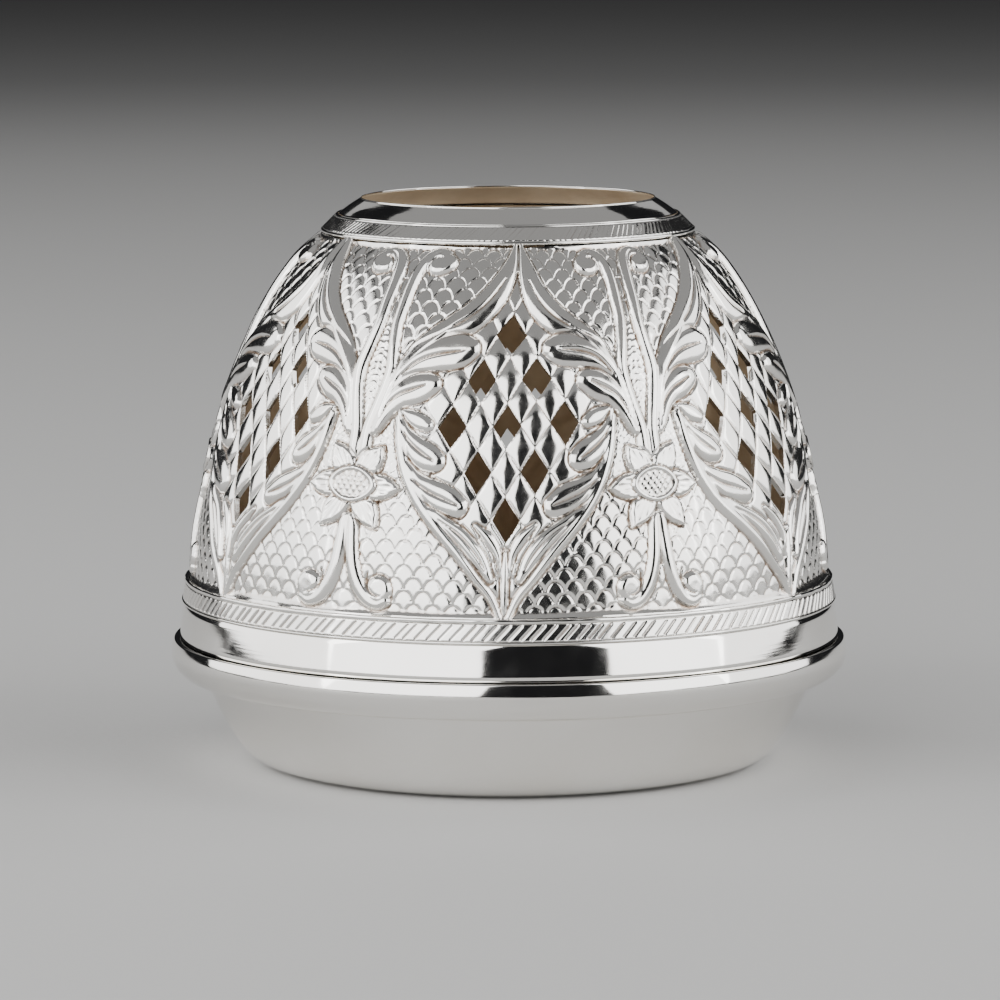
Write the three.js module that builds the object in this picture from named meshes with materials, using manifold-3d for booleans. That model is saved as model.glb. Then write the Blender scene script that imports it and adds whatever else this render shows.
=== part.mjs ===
// Small votive lamp: a pierced, chased silver shade that lifts off a shallow bowl
// holding a tealight. Millimetres, +Z up, origin at the centre of the foot on the
// surface that the lamp stands on.
import * as THREE from 'three';
import { mergeVertices } from 'three/addons/utils/BufferGeometryUtils.js';
import Module from 'manifold-3d';

const wasm = await Module();
wasm.setup();

// ---------- driving dimensions ----------

const GAP = 0.3;               // clearance left between separate pieces
const SHEET = 1.0;             // thickness of the spun bowl and shade sheet
const RING_SEGMENTS = 36;      // sides of the large turned pieces
const SMALL_SEGMENTS = 24;     // sides of the candle, its holder and the fasteners

const LEDGE_Z = 20.5;          // height of the ledge that carries the shade
const RIM_R = 55.0;            // widest radius of the lamp
const RIM_STRAIGHT = 2.4;      // upright part of the rim below the ledge
const RIM_DEPTH = 6.2;         // whole depth of the rim below the ledge
const BOWL_LIP_R = 49.7;       // outer radius of the bowl where the rim is fitted

const FOOT_INNER_R = 28.0;     // the flat foot is a ring between these two radii
const FOOT_OUTER_R = 38.0;
const FOOT_RECESS = 3.2;       // how far the middle of the floor is pushed up
const RECESS_SLOPE = 5.0;      // width of the slope from the foot up to that middle
const BOWL_SIDE = [            // radius and height up the swelling side, between foot and lip
  [41.2, 0.9],
  [43.6, 2.8],
  [46.0, 6.3],
  [48.0, 10.2],
  [49.4, 13.6],
];
const RIM_ROUND_ACROSS = 3.6;  // width of the quarter round under the rim
const RIM_ROUND_STEPS = 5;

const SKIRT_R = 52.0;          // outer radius of the bare skirt of the shade
const BAND_R = 53.7;           // outer radius of the plain skirt band
const HATCHED_R = 52.9;        // outer radius of the hatched skirt band
const BAND_TOP = 5.7;          // heights above the ledge
const LOWER_WIRE_Z = 6.3;
const HATCHED_BOTTOM = 6.9;
const HATCHED_TOP = 8.6;
const UPPER_WIRE_Z = 9.5;
const DOME_BOTTOM = 10.4;

const DOME_WALL = 1.5;         // sheet with its chased relief
const NECK_WIRE_LOW = { r: 30.05, z: 66.25 };
const NECK_WIRE_HIGH = { r: 27.7, z: 68.6 };
const MOUTH_WIRE = { r: 24.3, z: 71.0 };
const MOUTH_WIRE_R = 0.5;
const NECK_WIRE_R = 0.45;
const NECK_STRIP = 0.5;        // thickness of the hatched neck strip
const COLLAR_SHEET = 0.9;
const SKIRT_WIRE_HALF = 0.3;   // half the height of the thin wire under the hatched band
const SKIRT_ROLL_HALF = 0.55;  // half the height of the thicker roll above it

const LATTICE_PANELS = 6;      // pierced panels round the dome
const LATTICE_ROWS = 3;        // openings along each side of a panel
const LATTICE_CENTRE = 30.2;   // height of the panel centre along the dome's curve
const LATTICE_STEP_UP = 7.35;  // row to row, along the curve
const LATTICE_STEP_AROUND = THREE.MathUtils.degToRad(5.8);
const OPENING_WIDTH = 4.6;
const OPENING_HEIGHT = 7.0;

const TEALIGHT_R = 19.0;       // standard tealight, 38 mm across and 16 mm tall
const TEALIGHT_H = 16.0;
const TEALIGHT_FOIL = 0.6;
const WAX_DROP = 1.8;          // wax level below the cup's edge
const WICK_R = 0.8;
const WICK_ABOVE_WAX = 7.0;
const WAX_DISH = 0.5;          // how far the wax dips towards the wick
const SUSTAINER_R = 6.0;
const SUSTAINER_H = 0.5;
const CUP_CORNER = 1.0;

const HOLDER_WALL = 0.8;
const HOLDER_R = TEALIGHT_R + 1.9;
const HOLDER_H = 9.5;
const HOLDER_STEP = 2.2;       // depth of the dish that clears the screw head
const HOLDER_STEP_R = 8.0;
const HOLDER_STEP_SLOPE = 1.2;
const HOLDER_FLARE = 1.1;      // how far the lip turns outwards
const HOLDER_FLARE_H = 1.2;
const SPACER_R = 7.0;
const SPACER_H = 1.4;
const SCREW_R = 2.0;
const SCREW_HEAD_R = 4.0;
const SCREW_HEAD_H = 1.4;
const NUT_ACROSS_CORNERS = 8.0;
const NUT_H = 2.2;
const SLOT_WIDTH = 0.9;        // screwdriver slot across the screw's head
const SLOT_DEPTH = 0.6;
const SCREW_HOLE_R = SCREW_R + GAP;

const LOCATING_R = 50.5;       // outer radius of the ring inside the skirt
const LOCATING_WALL = 0.9;
const LOCATING_H = 4.6;

// ---------- materials ----------

function metal(name, colour, roughness) {
  return new THREE.MeshStandardMaterial({ name, color: colour, roughness, metalness: 1 });
}

const polishedSilver = () => metal('polished_silver', 0xe9e7e2, 0.12);
const chasedSilver = () => metal('chased_silver', 0xdedbd4, 0.22);
const brass = () => metal('brass', 0xc9a45a, 0.35);
const foil = () => metal('tealight_foil', 0xcfd1d3, 0.4);
const steel = () => metal('wick_steel', 0xa9abad, 0.45);
const wax = () => new THREE.MeshStandardMaterial({ name: 'wax', color: 0xf3eddc, roughness: 0.5 });
const cotton = () => new THREE.MeshStandardMaterial({ name: 'cotton', color: 0xe8e1cf, roughness: 0.95 });

// ---------- shape helpers ----------

// Turns a closed [radius, height] outline about Z. The outline runs up its outer side.
// One that starts and ends on the axis is left open there.
function turned(outline, segments = RING_SEGMENTS) {
  const points = outline.map(([r, z]) => new THREE.Vector2(r, z));
  const onAxis = outline[0][0] === 0;
  if (!onAxis) {
    points.push(points[0].clone());
  }
  const geometry = new THREE.LatheGeometry(points, segments);
  geometry.rotateX(Math.PI / 2);
  return geometry;
}

function circleOutline(radius, height, wireRadius, sides = 6) {
  const outline = [];
  for (let i = 0; i < sides; i += 1) {
    const angle = (2 * Math.PI * i) / sides - Math.PI / 2;
    outline.push([radius + wireRadius * Math.cos(angle), height + wireRadius * Math.sin(angle)]);
  }
  return outline;
}

// Moves an outline's points along the normal on the right of their direction of travel.
function offsetOutline(points, distance) {
  return points.map((point, i) => {
    const before = points[Math.max(i - 1, 0)];
    const after = points[Math.min(i + 1, points.length - 1)];
    const along = new THREE.Vector2(after[0] - before[0], after[1] - before[1]).normalize();
    return [point[0] + along.y * distance, point[1] - along.x * distance];
  });
}

// A sheet of even thickness under an outer line that runs upwards.
function sheetOutline(outer, thickness) {
  return [...outer, ...offsetOutline(outer, -thickness).reverse()];
}

function toManifold(geometry) {
  const bare = geometry.clone();
  bare.deleteAttribute('normal');
  bare.deleteAttribute('uv');
  const welded = mergeVertices(bare, 1e-3);
  const solid = new wasm.Mesh({
    numProp: 3,
    vertProperties: new Float32Array(welded.attributes.position.array),
    triVerts: new Uint32Array(welded.index.array),
  });
  return new wasm.Manifold(solid);
}

function fromManifold(solid) {
  const mesh = solid.getMesh();
  const geometry = new THREE.BufferGeometry();
  geometry.setAttribute('position', new THREE.BufferAttribute(mesh.vertProperties, 3));
  geometry.setIndex(new THREE.BufferAttribute(mesh.triVerts, 1));
  geometry.computeVertexNormals();
  return geometry;
}

function named(name, geometry, material, lift = 0) {
  const mesh = new THREE.Mesh(geometry, material);
  mesh.name = name;
  mesh.position.z = lift;
  return mesh;
}

// ---------- the dome's curve, in heights above the ledge ----------

const domeCurve = new THREE.SplineCurve([
  new THREE.Vector2(52.35, DOME_BOTTOM),
  new THREE.Vector2(51.6, 18),
  new THREE.Vector2(49.2, 29),
  new THREE.Vector2(45.6, 42),
  new THREE.Vector2(40.6, 54),
  new THREE.Vector2(34.4, 62.8),
  new THREE.Vector2(31.0, 65.4),
]);
const DOME_POINTS = 10;

function domeLine() {
  return domeCurve.getSpacedPoints(DOME_POINTS - 1).map((point) => [point.x, point.y]);
}

// ---------- shade ----------

function openingCutters() {
  const outline = new THREE.Shape();
  outline.moveTo(0, -OPENING_HEIGHT / 2);
  outline.lineTo(OPENING_WIDTH / 2, 0);
  outline.lineTo(0, OPENING_HEIGHT / 2);
  outline.lineTo(-OPENING_WIDTH / 2, 0);
  outline.closePath();
  const depth = 6 * DOME_WALL;
  const blade = new THREE.ExtrudeGeometry(outline, { depth, bevelEnabled: false });
  blade.translate(0, 0, -depth / 2);

  const length = domeCurve.getLength();
  const cutters = [];
  for (let panel = 0; panel < LATTICE_PANELS; panel += 1) {
    for (let i = 0; i < LATTICE_ROWS; i += 1) {
      for (let j = 0; j < LATTICE_ROWS; j += 1) {
        const around = (i - j) * LATTICE_STEP_AROUND + (panel * 2 * Math.PI) / LATTICE_PANELS;
        const along = LATTICE_CENTRE + (i + j - LATTICE_ROWS + 1) * LATTICE_STEP_UP;
        const place = domeCurve.getPointAt(along / length);
        const climb = domeCurve.getTangentAt(along / length);
        const outward = new THREE.Vector3(climb.y * Math.sin(around), -climb.y * Math.cos(around), -climb.x);
        const up = new THREE.Vector3(climb.x * Math.sin(around), -climb.x * Math.cos(around), climb.y);
        const side = new THREE.Vector3().crossVectors(up, outward);
        const frame = new THREE.Matrix4().makeBasis(side, up, outward);
        frame.setPosition(place.x * Math.sin(around), -place.x * Math.cos(around), place.y);
        cutters.push(toManifold(blade.clone().applyMatrix4(frame)));
      }
    }
  }
  return cutters;
}

// The pierced dome: a straight skirt, the dome itself, and a cone that carries the neck strip.
function shadeShell() {
  const dome = domeLine();
  const coneOffset = NECK_STRIP / 2 + GAP + NECK_WIRE_R;
  const slope = Math.SQRT1_2 * coneOffset;
  const outer = [
    [SKIRT_R, GAP],
    [SKIRT_R, DOME_BOTTOM - GAP],
    ...dome,
    [NECK_WIRE_LOW.r - slope, NECK_WIRE_LOW.z - slope],
    [NECK_WIRE_HIGH.r - slope, NECK_WIRE_HIGH.z - slope],
  ];
  const inner = [
    [NECK_WIRE_HIGH.r - slope - SHEET, NECK_WIRE_HIGH.z - slope - SHEET / 2],
    [NECK_WIRE_LOW.r - slope - SHEET, NECK_WIRE_LOW.z - slope - SHEET],
    ...offsetOutline(dome, -DOME_WALL).reverse().slice(1),
    [SKIRT_R - SHEET, DOME_BOTTOM - DOME_WALL],
    [SKIRT_R - SHEET, GAP],
  ];
  let shell = toManifold(turned([...outer, ...inner]));
  for (const cutter of openingCutters()) {
    shell = shell.subtract(cutter);
  }
  return fromManifold(shell);
}

function bandOutline(innerR, outerR, bottom, top, softening) {
  return [
    [innerR, bottom],
    [outerR - softening, bottom],
    [outerR, bottom + softening],
    [outerR, top - softening],
    [outerR - softening, top],
    [innerR, top],
  ];
}

// A strip lying on the neck's cone, from one neck wire to the other.
function neckStripOutline() {
  const run = new THREE.Vector2(NECK_WIRE_HIGH.r - NECK_WIRE_LOW.r, NECK_WIRE_HIGH.z - NECK_WIRE_LOW.z);
  const length = run.length();
  const step = run.clone().normalize().multiplyScalar(NECK_WIRE_R + GAP);
  const start = [NECK_WIRE_LOW.r + step.x, NECK_WIRE_LOW.z + step.y];
  const share = 1 - (2 * (NECK_WIRE_R + GAP)) / length;
  const end = [start[0] + run.x * share, start[1] + run.y * share];
  return sheetOutline(offsetOutline([start, end], NECK_STRIP / 2), NECK_STRIP);
}

// The plain collar: a cone from the upper neck wire up to the wire round the mouth.
function collarOutline() {
  const away = (NECK_WIRE_R + GAP) * 1.1 * Math.SQRT1_2;
  const bottom = [NECK_WIRE_HIGH.r - away, NECK_WIRE_HIGH.z + away];
  const top = [MOUTH_WIRE.r + MOUTH_WIRE_R + GAP, MOUTH_WIRE.z - GAP];
  return sheetOutline([bottom, top], COLLAR_SHEET);
}

function neckWire(place) {
  return turned(circleOutline(place.r, place.z, NECK_WIRE_R));
}

// A half-round wire soldered to the skirt.
function skirtWire(outerR, middle, half) {
  return turned(bandOutline(SKIRT_R + GAP, outerR, middle - half, middle + half, half / 2));
}

function buildShade() {
  const bandR = SKIRT_R + GAP;
  const hatched = bandOutline(bandR, HATCHED_R, HATCHED_BOTTOM, HATCHED_TOP, 0.1);
  const plain = bandOutline(bandR, BAND_R, GAP + 0.1, BAND_TOP, 0.25);
  const group = new THREE.Group();
  group.position.z = LEDGE_Z;
  group.add(
    named('shade_shell', shadeShell(), chasedSilver()),
    named('neck_collar', turned(collarOutline()), polishedSilver()),
    named('mouth_wire', turned(circleOutline(MOUTH_WIRE.r, MOUTH_WIRE.z, MOUTH_WIRE_R)), polishedSilver()),
    named('neck_band', turned(neckStripOutline()), chasedSilver()),
    named('neck_wire_upper', neckWire(NECK_WIRE_HIGH), polishedSilver()),
    named('neck_wire_lower', neckWire(NECK_WIRE_LOW), polishedSilver()),
    named('skirt_wire_upper', skirtWire(HATCHED_R + 0.2, UPPER_WIRE_Z, SKIRT_ROLL_HALF), polishedSilver()),
    named('skirt_wire_lower', skirtWire(HATCHED_R + 0.1, LOWER_WIRE_Z, SKIRT_WIRE_HALF), polishedSilver()),
    named('skirt_hatched_band', turned(hatched), chasedSilver()),
    named('skirt_plain_band', turned(plain), polishedSilver()),
  );
  return group;
}

// ---------- base ----------

// Spun bowl: pushed-up middle with a screw hole, flat foot ring, swelling side, upright lip.
function bowlOutline() {
  return sheetOutline([
    [SCREW_HOLE_R, FOOT_RECESS],
    [FOOT_INNER_R - RECESS_SLOPE, FOOT_RECESS],
    [FOOT_INNER_R, 0],
    [FOOT_OUTER_R, 0],
    ...BOWL_SIDE,
    [BOWL_LIP_R, LEDGE_Z - RIM_DEPTH],
    [BOWL_LIP_R, LEDGE_Z - GAP],
  ], SHEET);
}

// Rim round the bowl's lip: a flat ledge on top, an upright face, then a quarter round under.
function rimOutline() {
  const inner = BOWL_LIP_R + GAP;
  const roundDown = RIM_DEPTH - RIM_STRAIGHT;
  const outline = [[inner, LEDGE_Z - RIM_DEPTH]];
  for (let i = 0; i <= RIM_ROUND_STEPS; i += 1) {
    const angle = (Math.PI / 2) * (i / RIM_ROUND_STEPS);
    outline.push([
      RIM_R - RIM_ROUND_ACROSS + RIM_ROUND_ACROSS * Math.sin(angle),
      LEDGE_Z - RIM_STRAIGHT - roundDown * Math.cos(angle),
    ]);
  }
  outline.push([RIM_R, LEDGE_Z - GAP], [RIM_R - GAP, LEDGE_Z], [inner, LEDGE_Z]);
  return outline;
}

const FLOOR_Z = FOOT_RECESS + SHEET;
const SPACER_Z = FLOOR_Z + GAP;
const HOLDER_Z = SPACER_Z + SPACER_H + GAP;
const SEAT_Z = HOLDER_Z + HOLDER_STEP;
const TEALIGHT_Z = SEAT_Z + HOLDER_WALL + GAP;

// Candle holder: a dished floor with a screw hole, an upright wall and a flared lip.
function holderOutline() {
  const top = HOLDER_Z + HOLDER_H;
  const outer = [
    [SCREW_HOLE_R, HOLDER_Z],
    [HOLDER_STEP_R, HOLDER_Z],
    [HOLDER_STEP_R + HOLDER_STEP_SLOPE, SEAT_Z],
    [HOLDER_R - HOLDER_WALL, SEAT_Z],
    [HOLDER_R, SEAT_Z + HOLDER_WALL],
    [HOLDER_R, top - HOLDER_FLARE_H],
    [HOLDER_R + HOLDER_FLARE, top],
  ];
  const inner = [
    [HOLDER_R + HOLDER_FLARE - 0.7, top + 0.3],
    [HOLDER_R - HOLDER_WALL, top - HOLDER_FLARE_H + 0.3],
    [HOLDER_R - HOLDER_WALL, SEAT_Z + HOLDER_WALL],
    [HOLDER_STEP_R + HOLDER_STEP_SLOPE / 2, SEAT_Z + HOLDER_WALL],
    [HOLDER_STEP_R - HOLDER_STEP_SLOPE / 2, HOLDER_Z + HOLDER_WALL],
    [SCREW_HOLE_R, HOLDER_Z + HOLDER_WALL],
  ];
  return [...outer, ...inner];
}

// Pan-head screw, head up inside the holder, with a slot across the head.
function screwGeometry() {
  const headZ = HOLDER_Z + HOLDER_WALL + GAP;
  const tip = GAP;
  const chamfer = 0.4;
  const outline = [
    [0, tip],
    [SCREW_R - chamfer, tip],
    [SCREW_R, tip + chamfer],
    [SCREW_R, headZ],
    [SCREW_HEAD_R, headZ],
    [SCREW_HEAD_R, headZ + SCREW_HEAD_H * 0.6],
    [SCREW_HEAD_R - 0.9, headZ + SCREW_HEAD_H],
    [0, headZ + SCREW_HEAD_H],
  ];
  const slot = new THREE.BoxGeometry(3 * SCREW_HEAD_R, SLOT_WIDTH, 2 * SLOT_DEPTH);
  slot.translate(0, 0, headZ + SCREW_HEAD_H);
  return fromManifold(toManifold(turned(outline, SMALL_SEGMENTS)).subtract(toManifold(slot)));
}

// Hexagon nut under the floor, sunk in the pushed-up middle so that it clears the table.
function nutGeometry() {
  const outline = new THREE.Shape();
  for (let side = 0; side < 6; side += 1) {
    const angle = (Math.PI / 3) * side;
    const x = (NUT_ACROSS_CORNERS / 2) * Math.cos(angle);
    const y = (NUT_ACROSS_CORNERS / 2) * Math.sin(angle);
    if (side === 0) {
      outline.moveTo(x, y);
    } else {
      outline.lineTo(x, y);
    }
  }
  outline.closePath();
  const bore = new THREE.Path();
  bore.absarc(0, 0, SCREW_HOLE_R, 0, 2 * Math.PI, true);
  outline.holes.push(bore);
  const nut = new THREE.ExtrudeGeometry(outline, { depth: NUT_H, bevelEnabled: false, curveSegments: 12 });
  nut.translate(0, 0, FOOT_RECESS - GAP - NUT_H);
  return nut;
}

function buildBase() {
  const spacer = bandOutline(SCREW_HOLE_R, SPACER_R, SPACER_Z, SPACER_Z + SPACER_H, 0.2);
  const locating = bandOutline(
    LOCATING_R - LOCATING_WALL,
    LOCATING_R,
    LEDGE_Z + GAP,
    LEDGE_Z + GAP + LOCATING_H,
    0.2,
  );
  const group = new THREE.Group();
  group.add(
    named('base_bowl', turned(bowlOutline()), polishedSilver()),
    named('base_rim', turned(rimOutline()), polishedSilver()),
    named('locating_ring', turned(locating), polishedSilver()),
    named('candle_holder', turned(holderOutline(), SMALL_SEGMENTS), polishedSilver()),
    named('holder_spacer', turned(spacer, SMALL_SEGMENTS), brass()),
    named('holder_screw', screwGeometry(), brass()),
    named('holder_nut', nutGeometry(), brass()),
  );
  return group;
}

// ---------- tealight ----------

function buildTealight() {
  const innerR = TEALIGHT_R - TEALIGHT_FOIL;
  const waxR = innerR - GAP;
  const waxBottom = TEALIGHT_FOIL + GAP;
  const waxTop = TEALIGHT_H - WAX_DROP;
  const sustainerTop = waxBottom + SUSTAINER_H;
  const wickBottom = sustainerTop + GAP;
  const wickHole = WICK_R + GAP;

  const cup = [
    [0, 0],
    [TEALIGHT_R - CUP_CORNER, 0],
    [TEALIGHT_R, CUP_CORNER],
    [TEALIGHT_R, TEALIGHT_H],
    [innerR, TEALIGHT_H],
    [innerR, TEALIGHT_FOIL],
    [0, TEALIGHT_FOIL],
  ];
  const waxOutline = [
    [SUSTAINER_R + GAP, waxBottom],
    [waxR, waxBottom],
    [waxR, waxTop],
    [waxR - 2.5, waxTop - WAX_DISH],
    [wickHole, waxTop - WAX_DISH],
    [wickHole, sustainerTop + GAP],
    [SUSTAINER_R + GAP, sustainerTop + GAP],
  ];
  const sustainer = [
    [0, waxBottom],
    [SUSTAINER_R, waxBottom],
    [SUSTAINER_R, sustainerTop],
    [0, sustainerTop],
  ];
  const wickLine = [
    [0, wickBottom],
    [WICK_R, wickBottom],
    [WICK_R, waxTop + WICK_ABOVE_WAX - 0.5],
    [WICK_R - 0.3, waxTop + WICK_ABOVE_WAX],
    [0, waxTop + WICK_ABOVE_WAX],
  ];
  const group = new THREE.Group();
  group.position.z = TEALIGHT_Z;
  group.add(
    named('tealight_cup', turned(cup, SMALL_SEGMENTS), foil()),
    named('tealight_wax', turned(waxOutline, SMALL_SEGMENTS), wax()),
    named('wick_sustainer', turned(sustainer, SMALL_SEGMENTS), steel()),
    named('wick', turned(wickLine, 8), cotton()),
  );
  return group;
}

const lamp = new THREE.Group();
lamp.add(buildShade(), buildBase(), buildTealight());

export default lamp;
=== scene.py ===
import itertools
import math

import bmesh
import bpy
import numpy as np
from mathutils import Matrix, Vector


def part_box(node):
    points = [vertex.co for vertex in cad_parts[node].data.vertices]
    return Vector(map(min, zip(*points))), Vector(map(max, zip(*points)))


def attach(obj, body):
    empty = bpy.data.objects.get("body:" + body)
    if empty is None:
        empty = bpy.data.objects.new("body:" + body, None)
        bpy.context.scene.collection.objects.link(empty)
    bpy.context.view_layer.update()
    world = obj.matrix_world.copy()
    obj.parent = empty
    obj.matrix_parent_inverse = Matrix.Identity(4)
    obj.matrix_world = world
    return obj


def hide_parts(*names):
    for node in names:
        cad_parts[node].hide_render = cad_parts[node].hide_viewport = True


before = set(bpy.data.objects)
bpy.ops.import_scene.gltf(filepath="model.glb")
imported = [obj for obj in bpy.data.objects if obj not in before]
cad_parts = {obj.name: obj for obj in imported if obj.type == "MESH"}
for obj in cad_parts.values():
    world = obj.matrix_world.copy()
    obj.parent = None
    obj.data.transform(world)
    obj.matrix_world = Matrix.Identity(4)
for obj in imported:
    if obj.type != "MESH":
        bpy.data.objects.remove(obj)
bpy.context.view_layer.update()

MM = 0.001


def low(node):
    return [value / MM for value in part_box(node)[0]]


def high(node):
    return [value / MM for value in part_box(node)[1]]


def extent(node):
    """Bottom, top and outer radius of a turned CAD node."""
    return low(node)[2], high(node)[2], high(node)[0]


def middle_z(node):
    """Height of a node's middle above the ledge."""
    return (low(node)[2] + high(node)[2]) / 2 - LEDGE


def wire_centre(node, radius):
    """Radius, and height above the ledge, of the middle of a wire ring."""
    return high(node)[0] - radius, high(node)[2] - radius - LEDGE


# ---------- driving dimensions ----------

LEDGE = high("base_rim")[2]
RIM_R = high("base_rim")[0]
RIM_BOTTOM = low("base_rim")[2]
LIP_R = high("base_bowl")[0]
BAND_R = high("skirt_plain_band")[0]
HATCHED_R = high("skirt_hatched_band")[0]
ROLL_Z = middle_z("skirt_wire_upper")
LINE_Z = middle_z("skirt_wire_lower")
SKIRT_R = 52.0
SKIRT_SHEET = 1.0
NECK_WIRE_R = 0.45
MOUTH_WIRE_R = 0.5
NECK_LOW = wire_centre("neck_wire_lower", NECK_WIRE_R)
NECK_HIGH = wire_centre("neck_wire_upper", NECK_WIRE_R)
MOUTH = wire_centre("mouth_wire", MOUTH_WIRE_R)

PANELS = 6                     # pierced panels round the dome
HALF_PANEL = 180 / PANELS      # degrees; the work is mirrored about both of its edges
DOME_LINE = [                  # radius and height of the highest relief, up the dome
    (52.4, 9.9), (51.6, 18), (49.9, 26), (48.05, 34), (45.6, 42),
    (42.4, 50), (39.2, 56), (36.6, 60), (34.2, 63), (30.6, 66.24),
]
GROUND = 1.0                   # depth of the ground below the highest relief
DOME_SHEET = 0.85

LATTICE_STEP = (2.9, 3.675)    # half a lattice cell: degrees across, millimetres up
LATTICE_MIDDLE = 30.2
LATTICE_ROWS = 3
OPENING = (4.7, 7.0)           # width and height of an opening

# ---------- curves ----------


def smooth_line(points, step=0.12, across=1.0):
    """Points close together on a smooth curve through the given ones."""
    known = np.array(points, float)
    known = np.vstack([2 * known[0] - known[1], known, 2 * known[-1] - known[-2]])
    pieces = []
    for a, b, c, d in zip(known, known[1:], known[2:], known[3:]):
        count = max(3, int(math.hypot((c[0] - b[0]) * across, c[1] - b[1]) / step))
        t = np.linspace(0, 1, count, endpoint=False)[:, None]
        bend = 2 * a - 5 * b + 4 * c - d
        twist = 3 * b - a - 3 * c + d
        pieces.append(0.5 * (2 * b + (c - a) * t + bend * t**2 + twist * t**3))
    return np.vstack(pieces + [known[-2][None]])


def arc(centre, radii, start, end, steps=8):
    """Points on an ellipse's arc; 0 degrees is outwards and 90 is up."""
    angles = np.radians(np.linspace(start, end, steps + 1))
    return [(centre[0] + radii[0] * math.cos(a), centre[1] + radii[1] * math.sin(a)) for a in angles]


def rounded(outline, radius=0.25, steps=4, closed=True):
    """Rounds every corner of an outline."""
    points = [np.array(p, float) for p in outline]
    result = []
    for i, corner in enumerate(points):
        if not closed and i in (0, len(points) - 1):
            result.append(corner)
            continue
        ends = []
        for neighbour in (points[i - 1], points[(i + 1) % len(points)]):
            away = neighbour - corner
            length = np.linalg.norm(away)
            ends.append(corner + away / length * min(radius, 0.45 * length))
        for t in np.linspace(0, 1, steps + 1):
            result.append((1 - t)**2 * ends[0] + 2 * t * (1 - t) * corner + t**2 * ends[1])
    return np.array(result)


dome = smooth_line(DOME_LINE, 0.1)
dome_run = np.concatenate([[0], np.cumsum(np.hypot(*np.diff(dome, axis=0).T))])
DOME_LENGTH = dome_run[-1]


def line_at(run):
    """Radius and height of the dome's line at a length along it."""
    return np.array([np.interp(run, dome_run, dome[:, k]) for k in (0, 1)])


def dome_at(run):
    """The dome's line at a length along it, and its outward direction there."""
    reach = 0.4
    radius, height = line_at(run)
    d_radius, d_height = line_at(np.minimum(run + reach, DOME_LENGTH)) - line_at(np.maximum(run - reach, 0))
    length = np.hypot(d_radius, d_height)
    return radius, height, d_height / length, -d_radius / length


def around(azimuth, r, z):
    """Points at an azimuth, a radius and a height."""
    a = np.radians(azimuth)
    return np.stack([r * np.sin(a), -r * np.cos(a), z + 0 * a], -1)


def on_dome(azimuth, run, relief):
    """Points that stand relief above the dome's ground."""
    radius, height, out, up = dome_at(run)
    return around(azimuth, radius + out * (relief - GROUND), LEDGE + height + up * (relief - GROUND))


def ripple(azimuth, height, seed, cycles, per_mm, count=7):
    """Smooth noise of about unit size that closes on itself round the axis."""
    random = np.random.default_rng(seed)
    total = 0
    for _ in range(count):
        turns = int(random.integers(1, cycles + 1)) * random.choice((-1, 1))
        rise = random.uniform(-per_mm, per_mm) * 2 * math.pi
        phase = random.uniform(0, 2 * math.pi)
        total = total + np.sin(np.radians(azimuth) * turns + height * rise + phase)
    return total / math.sqrt(count)


# ---------- chased relief ----------
# Each stroke is a list of (azimuth, length up the dome, half-width), from root to tip.

TOP_LEAF = [
    (24.5, 39.3, 0.6), (20.5, 42.4, 1.6), (16.5, 44.7, 2), (12.5, 46.5, 2.3), (8.8, 48.5, 2.5),
    (5.6, 51.3, 2.3), (3.3, 54.8, 1.8), (1.8, 58.4, 1.1), (0.8, 61.6, 0.4),
]
TOP_GROOVE = [(17, 44.6), (13, 46.3), (9.2, 48.2), (5.8, 50.9), (3, 54.3)]
UPPER_LOBES = [
    [(25.5, 35.5, 0.8), (23.2, 38.7, 1.9), (19.8, 40.8, 2.4), (15.8, 41.9, 2.8), (11.8, 42.4, 2.9),
     (9.4, 42.7, 1.9)],
    [(26.6, 29.5, 0.8), (25.2, 32.6, 1.5), (23, 34.9, 2.1), (20, 36.2, 2.5), (17.6, 36.9, 2.1),
     (16.6, 37.1, 1.7)],
]
UPPER_GROOVES = [
    [(24, 37.6), (20.2, 40.4), (16, 41.7), (10.2, 42.3)],
    [(26.2, 31), (25, 33.4), (22.8, 35.1), (20, 36.1), (17.4, 36.9)],
]
UPPER_STEM = [
    (27.2, 29, 0.9), (26, 34, 1), (24.4, 38.2, 1), (21.2, 41.3, 1), (17.2, 44, 0.8),
    (13.4, 46.2, 0.3),
]
LOWER_STEM = [
    (0.3, -0.8, 0.5), (2.3, 3.2, 0.7), (5.2, 6.4, 0.8), (8.7, 10.2, 0.9), (12.7, 14, 1),
    (16.2, 17.7, 1.05), (18.7, 21.4, 1.05), (20.5, 25.3, 1), (21.6, 29, 0.9), (22.2, 32.6, 0.3),
]
LOWER_LOBES = [
    [(15.5, 17.3, 0.6), (11.5, 14.9, 1.1), (7.6, 12.2, 1.45), (4.6, 9.2, 1.3), (2.7, 6.2, 0.7)],
    [(20, 24.5, 0.8), (18, 21.6, 1.6), (15, 19.8, 2.2), (12, 18.6, 2.35), (9.5, 17.5, 1.8)],
    [(22.2, 31.3, 0.8), (20.8, 28.8, 1.5), (18.5, 26.8, 2.1), (16, 25.4, 2.25), (14.4, 24.6, 1.8)],
    [(22.4, 32.6, 0.4), (20.2, 31.9, 1.1), (18, 31.1, 1.35), (16.4, 30.4, 1)],
]
LOWER_GROOVES = [
    [(12.5, 15.3), (8.4, 13), (5.2, 10), (3.4, 7.4)],
    [(18.2, 21.8), (15.2, 19.9), (12.2, 18.7), (9, 17.6)],
    [(21.4, 29.8), (19.4, 27.8), (17, 26.1), (14.3, 24.6)],
]
LEAFLET = [(0.5, 6.5, 0.4), (1.3, 10, 0.7), (3.2, 12.7, 0.9), (5.7, 14.7, 0.4)]
FOOT_STEM = [(0, -1, 0.8), (0, 4, 0.75), (0, 8.5, 0.55), (0, 11, 0.2)]
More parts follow.
